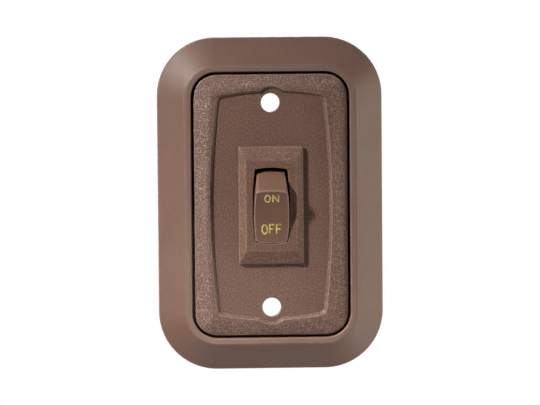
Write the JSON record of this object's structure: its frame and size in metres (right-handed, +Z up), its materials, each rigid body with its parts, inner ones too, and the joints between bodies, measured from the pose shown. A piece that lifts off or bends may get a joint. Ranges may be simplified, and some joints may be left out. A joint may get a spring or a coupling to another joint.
{
  "type": "wall light switch",
  "caption": "Wall light switch: a bevelled trim bezel round a contoured plate that carries a snap-in rocker switch marked ON and OFF, with a screw hole above and below.",
  "frame": {"origin": "half way between the two screw holes, on the wall plane that the bezel's back lies on", "axes": "+X to the right and +Z up, as seen from the room; -Y out of the wall towards the room"},
  "size_m": [0.0662, 0.0368, 0.098],
  "materials": {
    "bezel_plastic": "fine matte brown",
    "plate_plastic": "grained matte brown",
    "frame_plastic": "matte brown",
    "rocker_plastic": "satin brown",
    "legend_ink": "pale gold hot-stamped ink",
    "base_phenolic": "black moulded",
    "plunger_nylon": "natural nylon",
    "spring_steel": "bright drawn wire",
    "arm_copper": "stamped copper alloy",
    "contact_silver": "silver alloy",
    "terminal_brass": "stamped brass"
  },
  "bodies": {
    "housing": {"bezel": "bezel_plastic", "switch_plate": "plate_plastic", "switch_frame": "frame_plastic", "switch_base": "base_phenolic", "common_terminal": "terminal_brass", "load_terminal": "terminal_brass", "fixed_contact": "contact_silver"},
    "rocker": {"rocker": "rocker_plastic", "plunger_spring": "spring_steel"},
    "plunger": {"plunger": "plunger_nylon"},
    "contact_arm": {"contact_arm": "arm_copper", "moving_contact": "contact_silver"}
  },
  "joints": [
    {"name": "rocker_tilt", "type": "hinge", "parent": "housing", "child": "rocker", "pos_m": [0, -0.0011, 0], "axis": [-1, 0, 0], "range_deg": [0, 30]},
    {"name": "contact_arm_tilt", "type": "hinge", "parent": "housing", "child": "contact_arm", "pos_m": [0, 0.00722, 0], "axis": [-1, 0, 0], "range_deg": [-14, 0]},
    {"name": "plunger_slide", "type": "slide", "parent": "rocker", "child": "plunger", "axis": [0, -0.9659, -0.2588], "range_m": [0, 0.0008], "stiffness_N_per_m": 400, "springref_m": -0.001, "deforming": ["plunger_spring"]}
  ],
  "couplings": [
    {"joint": "contact_arm_tilt", "follows": "rocker_tilt", "ratio": -0.46667}
  ]
}
